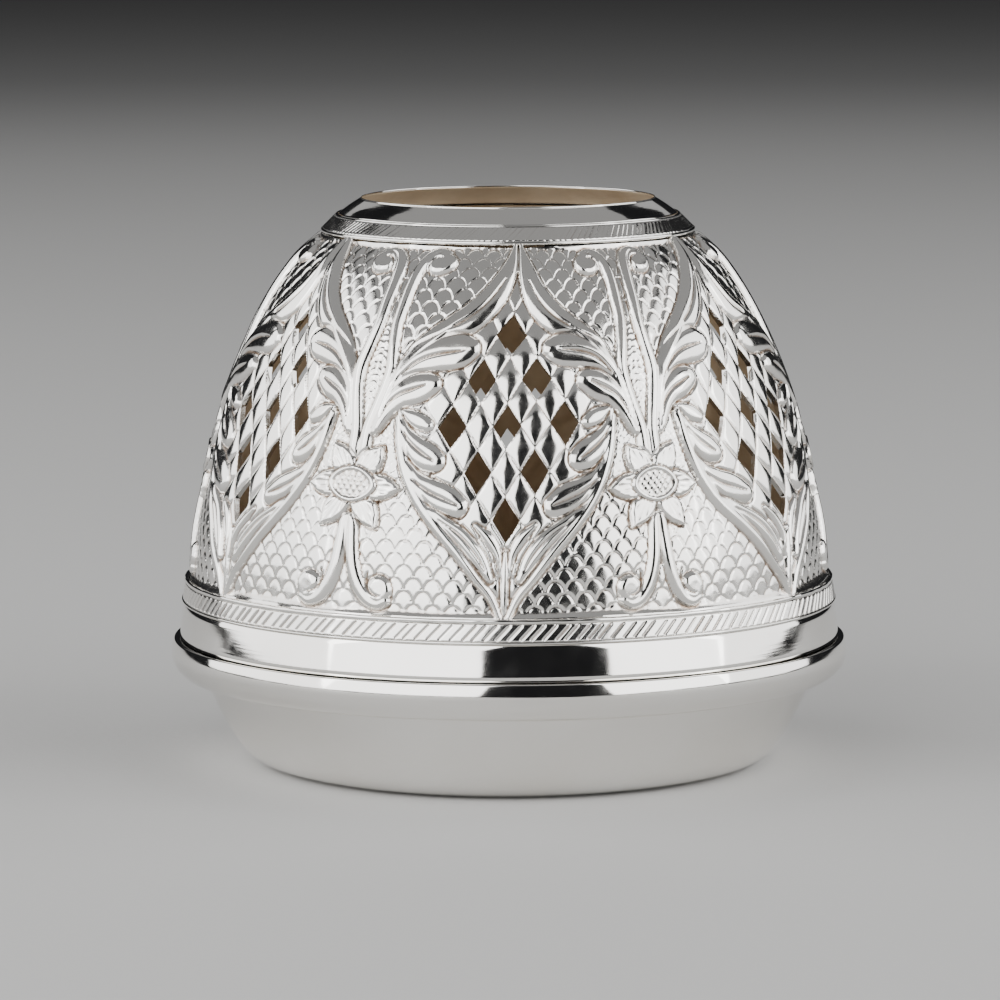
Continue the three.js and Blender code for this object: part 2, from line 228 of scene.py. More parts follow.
UPPER_VOLUTE = [
    (28.75, 24, 1.15), (28.7, 29, 1.15), (27.6, 33, 1.15), (26.6, 36.5, 1.1), (26.2, 39.5, 1.1),
    (27, 43.5, 1.05), (27.6, 47, 1.05), (27.5, 50.5, 1.15), (27.2, 54.5, 1.2), (26.4, 57.4, 1.2),
    (24.6, 59.5, 1.15), (21.8, 60.4, 0.95), (19.4, 60.1, 0.8),
]
LOWER_VOLUTE = [
    (29.2, 15.2, 1), (29, 12.5, 1.1), (28.6, 9, 1.15), (28, 6.4, 1.2), (27, 4.2, 1.25),
    (25.4, 2.4, 1.2), (23.6, 1.7, 1.1), (22.2, 2.2, 1),
]
UPPER_HEAD = ((20.5, 58), (2.5, 2.35))     # place, and radii in millimetres, of a volute's round end
LOWER_HEAD = ((23.3, 3.9), (2.25, 2.4))
UPPER_CURL = [(22.9, 55.5), (23.7, 56.9), (23.3, 58.2), (21.9, 59), (20.2, 58.9)]
LOWER_CURL = [(25.4, 7), (25.75, 5.6), (25.4, 4.3), (24.4, 3.3), (23, 2.9)]
FLOWER = (30, 20.3)
FLOWER_CORE = (4.15, 2.8)
PETAL_TIPS = [(-8.4, -0.3), (-4.6, 6.4), (-4.8, -6.8)]      # millimetres from the flower's middle
PETAL_WIDTHS = [(0.30, 1.7), (0.48, 2.2), (0.66, 1.85), (0.82, 1.1), (0.94, 0.4), (1, 0.08)]
MATTED = [
    (31, 47.5), (28.8, 47.5), (26.2, 41), (26, 38), (27, 33), (22.5, 33), (21, 27), (20.5, 23.5),
    (24, 22), (31, 22),
]
SCALES_CHANGE = 32             # length up the dome at which the scales change size
UPPER_SCALES = (5, 2.15, (2.5, 1.4))       # degrees wide, millimetres apart, place of the first
LOWER_SCALES = (3.75, 2, (1.7, 1.9))

MAP_STEP = (1 / 16, 1 / 14)    # degrees and millimetres between samples of the relief
MAP_MARGIN = 0.5
EDGE_GROOVE = 0.22             # width of the groove chased round raised work
STROKE_MARGIN = 3.5            # how far round a stroke, and round a chased line, the map is worked
LINE_MARGIN = 1.2
FAR = 9.0                      # millimetres, past which a groove has no depth


class Relief:
    """Heights of the chased work over half a panel, from its middle to the next column."""

    def __init__(self):
        azimuths = np.arange(0, HALF_PANEL + MAP_STEP[0] / 2, MAP_STEP[0])
        runs = np.arange(-MAP_MARGIN, DOME_LENGTH + MAP_MARGIN, MAP_STEP[1])
        self.azimuth, self.run = np.meshgrid(azimuths, runs)
        self.per_degree = np.radians(1) * (dome_at(self.run)[0] - GROUND / 2)
        self.height = np.zeros_like(self.azimuth)

    def window(self, line, reach):
        """The rows and columns of the map that are within reach of a line."""
        wide = reach / self.per_degree.min()
        part = []
        up_and_across = (self.run[:, 0], line[:, 1], reach), (self.azimuth[0], line[:, 0], wide)
        for places, known, margin in up_and_across:
            near = np.flatnonzero(abs(places - np.clip(places, known.min(), known.max())) < margin)
            part.append(slice(near[0], near[-1] + 1))
        return tuple(part)

    def from_point(self, place, part=np.s_[:, :]):
        """Millimetres across and up from a place."""
        return (self.azimuth[part] - place[0]) * self.per_degree[part], self.run[part] - place[1]

    def raise_stroke(self, points, height, carve=0.3, shoulder=1.0, power=0.55, head=None):
        """Raises a rounded stroke, with a round head if given, and chases a groove round it."""
        line = smooth_line(points, across=0.8)
        part = self.window(line, line[:, 2].max() + STROKE_MARGIN)
        outside = np.full(self.run[part].shape, np.inf)
        half_width = np.ones_like(outside)
        for azimuth, run, half in line:
            half = max(half, 0.05)
            distance = np.hypot(*self.from_point((azimuth, run), part)) - half
            half_width = np.where(distance < outside, half, half_width)
            outside = np.minimum(distance, outside)
        if head is not None:
            place, radii = head
            x, y = self.from_point(place, part)
            outside = np.minimum(outside, (np.hypot(x / radii[0], y / radii[1]) - 1) * min(radii))
        inwards = np.clip(-outside / np.minimum(half_width, shoulder), 0, 1)
        crown = height * (1 - (1 - inwards)**2)**power
        ground = self.height[part]
        groove = ground - carve * np.exp(-(np.clip(outside, 0, FAR) / EDGE_GROOVE)**2)
        self.height[part] = np.where(outside < 0, np.maximum(crown, ground - 0.8 * carve), groove)
        return part, outside

    def chase_line(self, points, depth, width):
        """Cuts a groove that fades at its ends."""
        line = smooth_line(points, across=0.8)
        part = self.window(line, LINE_MARGIN)
        nearest = np.full(self.run[part].shape, np.inf)
        for i, place in enumerate(line):
            fade = min(1, 2.5 * min(i, len(line) - 1 - i) / len(line) + 0.25)
            x, y = self.from_point(place, part)
            nearest = np.minimum(nearest, (x**2 + y**2) / fade**2)
        self.height[part] -= depth * np.exp(-nearest / width**2)

    def inside(self, polygon):
        """Whether each sample is inside a polygon of places."""
        result = np.zeros(self.run.shape, bool)
        for (x0, y0), (x1, y1) in zip(polygon, polygon[1:] + polygon[:1]):
            crosses = (y0 > self.run) != (y1 > self.run)
            result ^= crosses & (self.azimuth < (x1 - x0) * (self.run - y0) / (y1 - y0 + 1e-9) + x0)
        return result


def lattice_ground(relief):
    """A diagonal lattice of small pillows."""
    x = relief.azimuth / LATTICE_STEP[0]
    y = (relief.run - LATTICE_MIDDLE) / LATTICE_STEP[1]
    along, across = (x + y) / 2, (y - x) / 2
    u = 2 * abs(along - np.round(along))
    v = 2 * abs(across - np.round(across))
    pillow = (1 - u**2.4) * (1 - v**2.4)
    line = np.minimum(1 - u, 1 - v)
    return 0.1 + 0.28 * pillow**0.8 - 0.15 * np.exp(-(line / 0.055)**2)


def scale_ground(relief, pitch, rise, first):
    """Round-topped scales that overlap upwards: pitch in degrees, rise in millimetres."""
    half_wide = pitch * relief.per_degree / 2 * 1.02
    tall = rise * 1.5
    plate = np.zeros_like(half_wide)
    edge = np.full_like(half_wide, FAR)
    covered = np.zeros(half_wide.shape, bool)
    lowest_row = np.ceil((relief.run - first[1]) / rise)
    for row in (lowest_row + k for k in range(4)):
        apex = first[1] + row * rise
        shift = np.where(row % 2 == 0, 0, 0.5)
        column = np.round((relief.azimuth - first[0]) / pitch - shift)
        x = (relief.azimuth - first[0] - (column + shift) * pitch) * relief.per_degree
        y = relief.run - (apex - tall)
        distance = np.where(y > 0, np.hypot(x / half_wide, y / tall), abs(x) / half_wide)
        here = (distance < 1) & ~covered
        plate = np.where(here, 0.08 * (1 - distance**3), plate)
        edge = np.where(covered, edge, np.minimum(edge, abs(distance - 1) * half_wide))
        covered |= here
    return plate - 0.15 * np.exp(-(edge / 0.12)**2)


def matted_ground(relief):
    """Ground roughened with a small punch."""
    x, y = relief.azimuth * relief.per_degree, relief.run
    random = np.random.default_rng(5)
    total = np.zeros_like(x)
    for _ in range(14):
        turn, size = random.uniform(0, math.pi), random.uniform(0.9, 1.9)
        total += np.sin(2 * math.pi * size * (x * math.cos(turn) + y * math.sin(turn)) + random.uniform(0, 6))
    return -0.08 + 0.05 * total / 3


def flower(relief):
    """Petals with a hollow inside their edge, and a hatched core with a ring round it."""
    per_degree = math.radians(1) * (dome_at(FLOWER[1])[0] - GROUND / 2)
    for across, up in PETAL_TIPS[::-1]:
        petal = [(FLOWER[0] + across * t / per_degree, FLOWER[1] + up * t, half) for t, half in PETAL_WIDTHS]
        part, outside = relief.raise_stroke(petal, 0.9, shoulder=0.9, power=0.6)
        hollow = 0.16 * (1 - np.exp(-((outside + 0.45) / 0.5)**2))
        x, y = relief.from_point(FLOWER, part)
        rays = 0.05 * np.cos(np.arctan2(y, x) * 40)
        relief.height[part] -= np.where(outside < -0.45, hollow + rays, 0)
    x, y = relief.from_point(FLOWER)
    pointed = 1.75
    distance = (abs(x / FLOWER_CORE[0])**pointed + abs(y / FLOWER_CORE[1])**pointed)**(1 / pointed)
    outside = (distance - 1) * 3.2
    spacing, slant = 1.15, 0.75
    lines = np.minimum(abs((x + slant * y) / spacing % 1 - 0.5), abs((x - slant * y) / spacing % 1 - 0.5))
    middle = np.clip(3.4 - 4 * distance, 0, 1)
    core = 0.75 + 0.25 * (1 - distance**2) - 0.24 * middle * np.exp(-(lines * spacing / 0.15)**2)
    ring = 0.6 + 0.5 * np.sqrt(np.clip(1 - (abs(outside + 0.3) / 0.42)**2, 0, 1))
    around = relief.height - 0.25 * np.exp(-(np.clip(outside - 0.1, 0, FAR) / EDGE_GROOVE)**2)
    relief.height = np.where(outside < -0.6, core, np.where(outside < 0.12, ring, around))


def chase_half_panel():
    """Heights of all the work on half a panel, laid on from the ground up."""
    relief = Relief()
    panel = [(-1, 62), (0.8, 62)] + [p[:2] for p in TOP_LEAF[::-1]] + [(26, 33), (22.2, 32)]
    panel += [p[:2] for p in LOWER_STEM[::-1]] + [(-1, -2)]
    upper, lower = scale_ground(relief, *UPPER_SCALES), scale_ground(relief, *LOWER_SCALES)
    scales = np.where(relief.run > SCALES_CHANGE, upper, lower)
    relief.height = np.where(relief.inside(panel), lattice_ground(relief), scales)
    relief.height = np.where(relief.inside(MATTED), matted_ground(relief), relief.height)
    relief.raise_stroke(LEAFLET, 0.6)
    relief.raise_stroke(FOOT_STEM, 0.6)
    for lobe, height, shoulder in zip(LOWER_LOBES[::-1], (0.75, 0.9, 0.9, 0.85), (1.1, 1.7, 1.7, 1.4)):
        relief.raise_stroke(lobe, height, shoulder=shoulder)
    for line in LOWER_GROOVES:
        relief.chase_line(line, 0.36, 0.28)
    relief.raise_stroke(LOWER_STEM, 0.85, carve=0.15, power=0.7)
    relief.raise_stroke(TOP_LEAF, 1.0, shoulder=2.1)
    relief.chase_line(TOP_GROOVE, 0.36, 0.24)
    for lobe, line in zip(UPPER_LOBES, UPPER_GROOVES):
        relief.raise_stroke(lobe, 1.0, shoulder=2.2)
        relief.chase_line(line, 0.42, 0.28)
    relief.raise_stroke(UPPER_STEM, 0.95, carve=0.0, power=0.7)
    relief.raise_stroke(UPPER_VOLUTE, 0.85, carve=0.14, shoulder=1.3, power=0.7, head=UPPER_HEAD)
    relief.raise_stroke(LOWER_VOLUTE, 0.85, carve=0.14, shoulder=1.3, power=0.7, head=LOWER_HEAD)
    for curl in (UPPER_CURL, LOWER_CURL):
        relief.chase_line(curl, 0.5, 0.2)
    flower(relief)
    meeting = np.clip((relief.run - DOME_LENGTH) / 0.5 + 1, 0, 1)      # swells to meet the neck wire
    foot = np.clip(1 - relief.run / 1.1, 0, 1)                         # and the skirt's roll
    raised = np.maximum(0.4 * meeting, 0.7 * foot**1.5)
    return np.where(raised > 0, np.maximum(relief.height, raised), relief.height)


def blurred(values, width):
    """Box-blurs a half panel twice; width is in samples."""
    for axis in (0, 1, 0, 1):
        padded = np.pad(values, [(width, width) if a == axis else (0, 0) for a in (0, 1)], mode="edge")
        total = sum(np.roll(padded, k, axis) for k in range(-width, width + 1)) / (2 * width + 1)
        values = total[width:-width, :] if axis == 0 else total[:, width:-width]
    return values


def between(values, x, y):
    """Reads a table at fractions of a column and a row."""
    x = np.clip(x, 0, values.shape[1] - 1.001)
    y = np.clip(y, 0, values.shape[0] - 1.001)
    i, j = y.astype(int), x.astype(int)
    u, v = y - i, x - j
    lower = values[i, j] * (1 - v) + values[i, j + 1] * v
    upper = values[i + 1, j] * (1 - v) + values[i + 1, j + 1] * v
    return lower * (1 - u) + upper * u


def sampled(values, azimuth, run):
    """Reads a half panel's values anywhere round the dome."""
    folded = abs((azimuth + HALF_PANEL) % (2 * HALF_PANEL) - HALF_PANEL)
    return between(values, folded / MAP_STEP[0], (run + MAP_MARGIN) / MAP_STEP[1])


WANDER = 0.2                   # how far the hand-drawn pattern strays, in millimetres
DRIFT_RUNS = (5, 14, 25, 38, 48, 60)
DRIFT = {                      # degrees the pattern has slid sideways at those runs, by azimuth
    -100: (0, 0, 0, 0, 0, 0),
    -60: (-1, -0.8, 5.4, 7.2, 6.3, 3.6),
    -37: (-1, -0.8, 0, 0.8, 1.5, 4.5),
    -22: (0, 0, 0.3, 0.5, 0.8, 2),
    0: (-1.1, -1, -0.7, 0.2, 1.2, 3.6),
    22: (-1.7, -1.6, -1.4, -1, 0, 2.2),
    38: (-3.3, -3, -2.8, -2.5, -2.3, -1.9),
    60: (0, 2, -2.4, -6, -5.4, 0.5),
    100: (0, 0, 0, 0, 0, 0),
}


def drift_map():
    """Drift at every whole degree and millimetre, smoothed."""
    degrees, runs = np.arange(-180, 181), np.arange(0, 63)
    columns = np.array([np.interp(runs, DRIFT_RUNS, DRIFT[azimuth]) for azimuth in DRIFT])
    spread = np.array([np.interp(degrees, list(DRIFT), columns[:, k]) for k in range(len(runs))])
    return blurred(spread, 3)


DRIFT_MAP = drift_map()


def wandered(azimuth, run):
    """The place in the ideal pattern of a point on the hand-made one."""
    drift = between(DRIFT_MAP, (azimuth + 180) % 360, run)
    around = ripple(azimuth, run, 11, 17, 0.03)
    along = ripple(azimuth, run, 12, 17, 0.03)
    return azimuth - drift + around * WANDER * 1.25, run + along * WANDER


def strayed(azimuth, run):
    """Where a point of the ideal pattern is on the hand-made one."""
    place = [azimuth, run]
    for _ in range(5):
        ideal = wandered(*place)
        place = [place[0] + azimuth - ideal[0], place[1] + run - ideal[1]]
    return place


# ---------- meshes ----------

FULL_CAVITY = 0.3              # depth of a groove that is fully tarnished, on a turned piece
DOUBLED = 1e-7                 # metres between points that are one point on the axis


def placed(name, data):
    """A new object in the scene."""
    thing = bpy.data.objects.new(name, data)
    bpy.context.scene.collection.objects.link(thing)
    return thing


def mesh_of(name, shape):
    """A mesh made from a bmesh, which is freed."""
    mesh = bpy.data.meshes.new(name)
    shape.to_mesh(mesh)
    shape.free()
    return mesh


def cut_mesh(thing, cutter, solver):
    """The mesh of a thing with a cutter taken away from it. The cutter is deleted."""
    cut = thing.modifiers.new("cut", "BOOLEAN")
    cut.object = cutter
    cut.operation = "DIFFERENCE"
    cut.solver = solver
    bpy.context.view_layer.update()
    mesh = bpy.data.meshes.new_from_object(thing.evaluated_get(bpy.context.evaluated_depsgraph_get()))
    thing.modifiers.clear()
    bpy.data.objects.remove(cutter)
    return mesh


def mesh_from_grid(name, points, wrap_rows, attributes):
    """A mesh of quads from points[row, column] in millimetres, closed round the columns."""
    rows, columns = points.shape[:2]
    row = np.arange(rows if wrap_rows else rows - 1)[:, None]
    column = np.arange(columns)[None, :]
    next_row, next_column = (row + 1) % rows, (column + 1) % columns
    corners = np.stack([
        row * columns + column, row * columns + next_column,
        next_row * columns + next_column, next_row * columns + column,
    ], -1).reshape(-1, 4)
    mesh = bpy.data.meshes.new(name)
    mesh.vertices.add(rows * columns)
    mesh.vertices.foreach_set("co", (points * MM).astype(np.float32).ravel())
    mesh.loops.add(corners.size)
    mesh.loops.foreach_set("vertex_index", corners.astype(np.int32).ravel())
    mesh.polygons.add(len(corners))
    mesh.polygons.foreach_set("loop_start", np.arange(0, corners.size, 4, dtype=np.int32))
    mesh.update(calc_edges=True)
    for key, values in attributes.items():
        layer = mesh.attributes.new(key, "FLOAT", "POINT")
        layer.data.foreach_set("value", values.astype(np.float32).ravel())
    return mesh


def line_finish(mesh, columns, inside):
    """Gives the rows of a turned mesh from inside onwards its second material."""
    index = np.repeat(np.arange(len(mesh.polygons) // columns) >= inside, columns)
    mesh.polygons.foreach_set("material_index", index.astype(np.int32))


def turned_points(outline, columns, wobble, seed, carve):
    """Points of an outline turned about Z and moved along its normals by a slow wobble and the carving,
    and the carving's own heights."""
    outline = np.array(outline, float)
    ahead, behind = np.roll(outline, -1, 0), np.roll(outline, 1, 0)
    run = ahead - behind
    run /= np.maximum(np.linalg.norm(run, axis=1, keepdims=True), 1e-9)
    azimuth = np.arange(columns)[None, :] * 360 / columns
    radius, height = outline[:, :1], outline[:, 1:]
    carved = np.zeros((len(outline), columns))
    if carve is not None:
        carved = carved + carve(azimuth, np.arange(len(outline))[:, None], radius, height)
    stray = wobble * ripple(azimuth, height, seed, cycles=9, per_mm=0.05) + carved
    r = np.where(radius > 1e-6, radius + run[:, 1:] * stray, 0)
    z = np.maximum(height - run[:, :1] * stray * (radius > 1e-6), 0)    # the foot stands on the floor
    return around(azimuth, r, z), carved


def make_piece(name, mesh, materials, body, node):
    for material in materials:
        mesh.materials.append(material)
    mesh.shade_smooth()
    piece = placed(name, mesh)
    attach(piece, body)
    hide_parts(node)
    return piece


def turned(name, node, body, outline, columns, wobble, seed, carve=None, inside=None, slot="polished_silver"):
    """A piece turned about Z. The outline runs up its outer side, closed or from axis to axis.
    Rows from inside onwards take the tarnished finish."""
    on_axis = outline[0][0] == 0
    points, carved = turned_points(outline, columns, wobble, seed, carve)
    cavity = {} if carve is None else {"cavity": np.clip(-carved / FULL_CAVITY, 0, 1)}
    mesh = mesh_from_grid(name, points, not on_axis, cavity)
    if inside is not None:
        line_finish(mesh, columns, inside)
    if on_axis:
        shape = bmesh.new()
        shape.from_mesh(mesh)
        bmesh.ops.remove_doubles(shape, verts=shape.verts, dist=DOUBLED)
        shape.to_mesh(mesh)
        shape.free()
    materials = (FINISH[slot],) if inside is None else (FINISH[slot], INSIDE)
    return make_piece(name, mesh, materials, body, node)


# ---------- materials ----------


class Look:
    """A Principled material whose detail comes from nodes in the piece's own coordinates."""

    def __init__(self, name):
        self.material = bpy.data.materials.new(name)
        self.material.use_nodes = True
        self.tree = self.material.node_tree
        self.shader = self.tree.nodes["Principled BSDF"]
        self.place = self.node("TexCoord").outputs["Object"]

    def feed(self, socket, value):
        if isinstance(value, bpy.types.NodeSocket):
            self.tree.links.new(value, socket)
        else:
            socket.default_value = value

    def node(self, kind, **inputs):
        node = self.tree.nodes.new("ShaderNode" + kind)
        for name, value in inputs.items():
            self.feed(node.inputs[name], value)
        return node

    def math(self, operation, *values):
        node = self.node("Math")
        node.operation = operation
        for socket, value in zip(node.inputs, values):
            self.feed(socket, value)
        return node.outputs[0]

    def noise(self, size, detail, vector=None):
        """Noise with features of about size millimetres."""
        place = vector or self.place
        return self.node("TexNoise", Vector=place, Scale=1 / (size * MM), Detail=detail).outputs[0]

    def rings(self, size_up, size_around):
        """Coordinates that stretch a pattern round the axis, as turning marks are."""
        x, y, z = self.node("SeparateXYZ", Vector=self.place).outputs
        squares = self.math("ADD", self.math("MULTIPLY", x, x), self.math("MULTIPLY", y, y))
        radius = self.math("SQRT", squares)
        stretch = size_up / size_around
        across = self.math("ADD", radius, self.math("MULTIPLY", x, stretch))
        return self.node("CombineXYZ", X=across, Y=self.math("MULTIPLY", y, stretch), Z=z).outputs[0]

    def ramp(self, value, *stops):
        """Maps 0..1 to colours or greys given as (place, value)."""
        node = self.node("ValToRGB", Fac=value)
        elements = node.color_ramp.elements
        while len(elements) < len(stops):
            elements.new(0.5)
        for element, (position, colour) in zip(elements, stops):
            element.position = position
            shade = colour if isinstance(colour, tuple) else (colour,) * 3
            element.color = (*shade, 1)
        return node.outputs[0]

    def patches(self, size, detail, *stops):
        """Noise of a size, mapped to the stops."""
        return self.ramp(self.noise(size, detail), *stops)

    def mix(self, share, first, second):
        node = self.node("Mix")
        node.data_type = "RGBA"
        self.feed(node.inputs[0], share)
        for socket, value in ((node.inputs[6], first), (node.inputs[7], second)):
            self.feed(socket, (*value, 1) if isinstance(value, tuple) else value)
        return node.outputs[2]

    def bump(self, height, depth, normal=None):
        """Bump of about depth millimetres."""
        node = self.node("Bump", Height=height, Distance=depth * MM)
        if normal is not None:
            self.feed(node.inputs["Normal"], normal)
        return node.outputs[0]

    def attribute(self, name):
        node = self.node("Attribute")
        node.attribute_name = name
        return node.outputs["Fac"]

    def finish(self, colour, rough, normal, **others):
        self.feed(self.shader.inputs["Base Color"], colour)
        self.feed(self.shader.inputs["Roughness"], rough)
        self.feed(self.shader.inputs["Normal"], normal)
        for name, value in others.items():
            self.shader.inputs[name.replace("_", " ")].default_value = value
        return self.material


SILVER = (0.93, 0.915, 0.885)
SILVER_WARM = (0.87, 0.845, 0.80)
TARNISH = (0.30, 0.20, 0.13)


def polished_silver():
    look = Look("polished_silver")
    marks = look.noise(0.35, 2, look.rings(0.35, 14))
    dents = look.noise(9, 1)
    colour = look.mix(look.patches(22, 3, (0.35, 0.0), (0.8, 1.0)), SILVER, SILVER_WARM)
    rough = look.patches(3.5, 4, (0.3, 0.045), (0.75, 0.11))
    normal = look.bump(marks, 0.0035, look.bump(dents, 0.05))
    return look.finish(colour, rough, normal, Metallic=1.0)


def chased_silver():
    look = Look("chased_silver")
    cavity = look.math("MULTIPLY", look.attribute("cavity"), look.patches(6, 3, (0.3, 0.35), (0.7, 1.0)))
    clean = look.mix(look.patches(18, 3, (0.35, 0.0), (0.8, 1.0)), SILVER, SILVER_WARM)
    colour = look.mix(look.ramp(cavity, (0.12, 0.0), (0.75, 0.85)), clean, TARNISH)
    rough = look.patches(1.2, 4, (0.3, 0.10), (0.75, 0.19))
    rough = look.math("ADD", rough, look.math("MULTIPLY", cavity, 0.25))
    planish = look.noise(1.6, 1)
    grain = look.noise(0.25, 2)
    normal = look.bump(grain, 0.002, look.bump(planish, 0.02))
    return look.finish(colour, rough, normal, Metallic=1.0)


def tarnished_inside():
    look = Look("tarnished_inside")
    browns = (0.3, (0.50, 0.37, 0.235)), (0.55, (0.60, 0.465, 0.31)), (0.8, (0.68, 0.55, 0.385))
    rough = look.patches(2, 3, (0.3, 0.55), (0.8, 0.75))
    return look.finish(look.patches(7, 4, *browns), rough, look.bump(look.noise(0.9, 3), 0.03), Metallic=0.2)


def brass():
    look = Look("brass")
    colour = look.mix(look.noise(4, 3), (0.78, 0.56, 0.25), (0.62, 0.42, 0.17))
    rough = look.patches(0.8, 3, (0.3, 0.22), (0.8, 0.42))
    normal = look.bump(look.noise(0.2, 2, look.rings(0.2, 6)), 0.006)
    return look.finish(colour, rough, normal, Metallic=1.0)


def foil():
    look = Look("tealight_foil")
    colour = look.mix(look.noise(5, 3), (0.80, 0.81, 0.82), (0.68, 0.69, 0.71))
    rough = look.ramp(look.noise(0.7, 3, look.rings(0.7, 8)), (0.3, 0.28), (0.8, 0.5))
    return look.finish(colour, rough, look.bump(look.noise(1.4, 3), 0.03), Metallic=1.0)


def wax():
    look = Look("wax")
    colour = look.mix(look.noise(6, 4), (0.90, 0.87, 0.79), (0.82, 0.78, 0.68))
    rough = look.patches(1.5, 3, (0.3, 0.35), (0.8, 0.6))
    normal = look.bump(look.noise(2.4, 3), 0.06)
    return look.finish(colour, rough, normal, Subsurface_Weight=0.5, Subsurface_Scale=0.004)


def cotton():
    look = Look("cotton")
    colour = look.mix(look.noise(0.5, 3), (0.80, 0.75, 0.64), (0.58, 0.52, 0.42))
    return look.finish(colour, 0.95, look.bump(look.noise(0.15, 2), 0.04), Sheen_Weight=0.3)


def wick_steel():
    look = Look("wick_steel")
    colour = look.mix(look.noise(2, 3), (0.62, 0.63, 0.64), (0.48, 0.49, 0.50))
    rough = look.patches(0.5, 3, (0.3, 0.3), (0.8, 0.5))
    return look.finish(colour, rough, look.bump(look.noise(0.3, 2), 0.01), Metallic=1.0)


def floor_look():
    look = Look("pale_floor")
    colour = look.mix(look.noise(900, 2), (0.56, 0.557, 0.55), (0.53, 0.527, 0.52))
    return look.finish(colour, 0.85, look.bump(look.noise(1.5, 3), 0.05))


INSIDE = tarnished_inside()
FINISH = {                     # by slot name
    "polished_silver": polished_silver(), "chased_silver": chased_silver(), "brass": brass(),
    "tealight_foil": foil(), "wax": wax(), "cotton": cotton(), "wick_steel": wick_steel(),
}
FINISH["holder_silver"] = FINISH["polished_silver"]

# ---------- shade ----------

DOME_COLUMNS = 1440
DOME_ROWS = 300
INSIDE_ROWS = 110
INSIDE_SHARE = 0.7             # how much of the relief shows on the back of the sheet
DEEP_GROOVE = 0.16             # depth of a fully tarnished groove, below the work round it
CUT_REACH = 4                  # how far an opening's cutter stands in front of and behind the dome
CUT_JITTER = 0.07


def neck_cone(offset):
    """The dome sheet's edge under the neck strip, offset inwards from the neck wires."""
    slope = offset / math.sqrt(2)
    return [(NECK_LOW[0] - slope, NECK_LOW[1] - slope), (NECK_HIGH[0] - slope, NECK_HIGH[1] - slope)]


def ring_rows(points):
    """Plain rows round the axis, from (radius, height above the ledge)."""
    azimuth = np.arange(DOME_COLUMNS) * 360 / DOME_COLUMNS
    return np.stack([around(azimuth, r, LEDGE + z) for r, z in points])


def shade_grid(heights):
    """Points and cavity of the shade's rows, up its outside and down its inside, and the first inside row."""
    azimuth = np.arange(DOME_COLUMNS)[None, :] * 360 / DOME_COLUMNS
    outer_run = np.linspace(0.15, DOME_LENGTH - 0.1, DOME_ROWS)[:, None]
    inner_run = np.linspace(DOME_LENGTH - 0.6, 0.6, INSIDE_ROWS)[:, None]
    back_map = blurred(heights, 6)
    cavity_map = np.clip((back_map - heights) / DEEP_GROOVE, 0, 1)

    place = wandered(*np.broadcast_arrays(azimuth, outer_run))
    relief = sampled(heights, *place)
    relief = relief * (1 + 0.05 * ripple(azimuth, outer_run, 13, 23, 0.04))
    relief = relief + 0.05 * ripple(azimuth, outer_run, 14, 42, 0.13)
    outer = on_dome(azimuth, outer_run, relief)
    back_place = wandered(*np.broadcast_arrays(azimuth, inner_run))
    back = INSIDE_SHARE * sampled(back_map, *back_place) - DOME_SHEET
    inner = on_dome(azimuth, inner_run, back)

    skirt_outer = ring_rows([(SKIRT_R, z) for z in (0.3, 5.0, 9.6)])
    neck = ring_rows(neck_cone(0.95) + neck_cone(0.95 + SKIRT_SHEET)[::-1])
    skirt_inner = ring_rows([(SKIRT_R - SKIRT_SHEET, z) for z in (8.6, 4.5, 0.3)])
    parts = (skirt_outer, outer, neck, inner, skirt_inner)
    cavity = [np.zeros(part.shape[:2]) for part in parts]
    cavity[1] = sampled(cavity_map, *place)
    first_inside = len(skirt_outer) + len(outer) + len(neck) - 1
    return np.vstack(parts), np.vstack(cavity), first_inside


def opening_cutters():
    """Lozenge prisms through the dome, one for each opening."""
    shape = bmesh.new()
    random = np.random.default_rng(21)
    for panel, i, j in itertools.product(range(PANELS), range(LATTICE_ROWS), range(LATTICE_ROWS)):
        azimuth = panel * 2 * HALF_PANEL + (i - j) * 2 * LATTICE_STEP[0]
        run = LATTICE_MIDDLE + (i + j - LATTICE_ROWS + 1) * 2 * LATTICE_STEP[1]
        radius = dome_at(run)[0] - GROUND / 2
        half_wide = math.degrees(OPENING[0] / 2 / radius)
        corners = [(0, -OPENING[1] / 2), (half_wide, 0), (0, OPENING[1] / 2), (-half_wide, 0)]
        places = [strayed(np.float64(azimuth + da), np.float64(run + dr)) for da, dr in corners]
        jitter = random.normal(0, CUT_JITTER, (4, 3))
        back, front = [
            [shape.verts.new((on_dome(*places[k], depth) + jitter[k]) * MM) for k in range(4)]
            for depth in (-CUT_REACH, CUT_REACH)
        ]
        shape.faces.new(back[::-1])
        shape.faces.new(front)
        for k in range(4):
            n = (k + 1) % 4
            shape.faces.new((back[k], back[n], front[n], front[k]))
    cutters = placed("opening_cutters", mesh_of("opening_cutters", shape))
    cutters.data.materials.append(FINISH["chased_silver"])
    return cutters


def pierced_shade():
    points, cavity, first_inside = shade_grid(chase_half_panel())
    mesh = mesh_from_grid("shade_chased", points, True, {"cavity": cavity})
    line_finish(mesh, DOME_COLUMNS, first_inside)
    for material in (FINISH["chased_silver"], INSIDE):
        mesh.materials.append(material)
    blank = placed("shade_blank", mesh)
    pierced = cut_mesh(blank, opening_cutters(), "MANIFOLD")
    pierced.name = "shade_chased"
    bpy.data.objects.remove(blank)
    pierced.set_sharp_from_angle(angle=math.radians(52))
    make_piece("shade_chased", pierced, (), "shade", "shade_shell")


